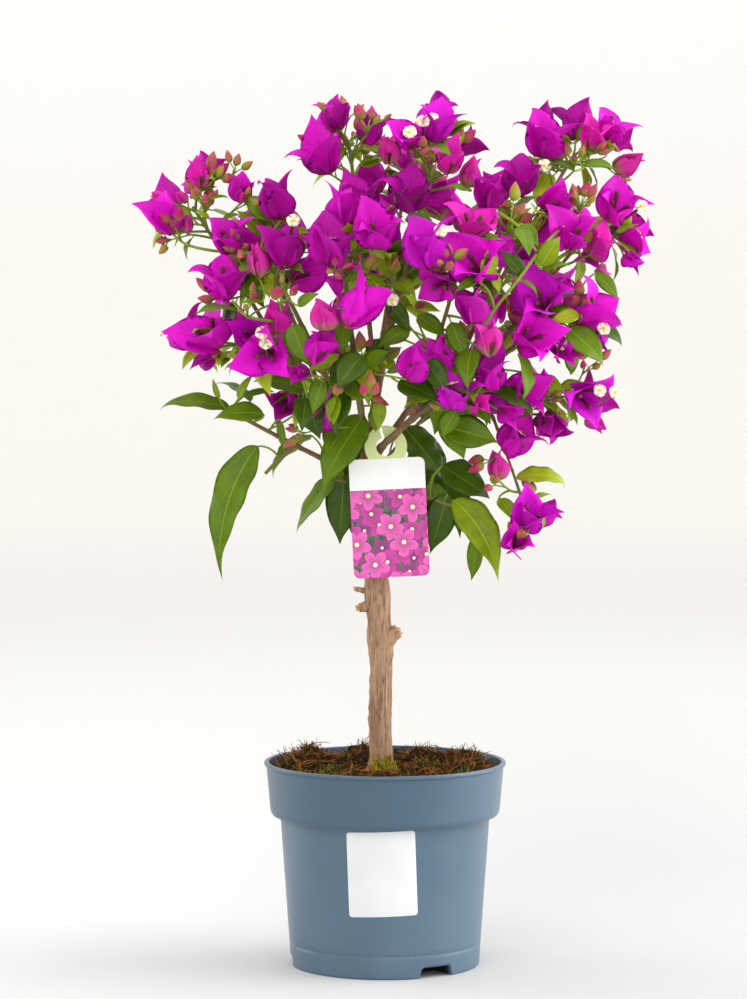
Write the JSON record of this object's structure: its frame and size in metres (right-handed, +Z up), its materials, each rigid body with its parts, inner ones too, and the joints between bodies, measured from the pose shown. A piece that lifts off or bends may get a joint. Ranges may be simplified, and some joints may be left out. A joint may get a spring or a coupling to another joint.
{
  "type": "potted bougainvillea standard",
  "caption": "Small standard bougainvillea in a plastic nursery pot: one woody stem, a round crown of magenta bracts and green leaves, a blank hang tag.",
  "frame": {"origin": "middle of the pot's flat underside", "axes": "+Z up along the stem, -Y towards the front"},
  "size_m": [0.3222, 0.2337, 0.5481],
  "materials": {
    "pot": "satin injection moulded",
    "soil": "fibrous compost with moss",
    "bark": "rough flaking bark",
    "bough": "young bark",
    "foliage": "waxy leaf",
    "blossom": "papery bract",
    "tag": "thin printed film"
  },
  "bodies": {
    "root": {"pot": "pot", "soil": "soil", "trunk": "bark", "bough_back": "bough", "bough_back_left": "bough", "bough_back_right": "bough", "bough_back_top": "bough", "bough_far_left": "bough", "bough_front_left": "bough", "bough_front_right": "bough", "bough_left": "bough", "bough_left_high": "bough", "bough_right": "bough", "bough_right_far": "bough", "bough_right_high": "bough", "bough_right_low": "bough", "bough_spray": "bough", "bough_top": "bough", "bough_top_left": "bough", "bough_top_mid": "bough", "bough_top_right": "bough", "bough_twig_left": "bough", "mass_back_left": "blossom", "mass_back_low_left": "blossom", "mass_back_low_right": "blossom", "mass_back_mid": "blossom", "mass_back_right": "blossom", "mass_back_top": "blossom", "mass_far_left": "blossom", "mass_front_deep": "blossom", "mass_front_left": "blossom", "mass_front_low": "blossom", "mass_front_right": "blossom", "mass_hang_left": "foliage", "mass_leaves_back": "foliage", "mass_leaves_left": "foliage", "mass_leaves_right": "foliage", "mass_left_high": "blossom", "mass_left_low": "blossom", "mass_middle": "blossom", "mass_right_far": "blossom", "mass_right_high": "blossom", "mass_right_low": "blossom", "mass_right_mid": "blossom", "mass_spray_low": "blossom", "mass_top_left": "blossom", "mass_top_mid": "blossom", "mass_top_right": "blossom", "mass_twig_left": "foliage", "hang_tag": "tag"}
  },
  "joints": []
}
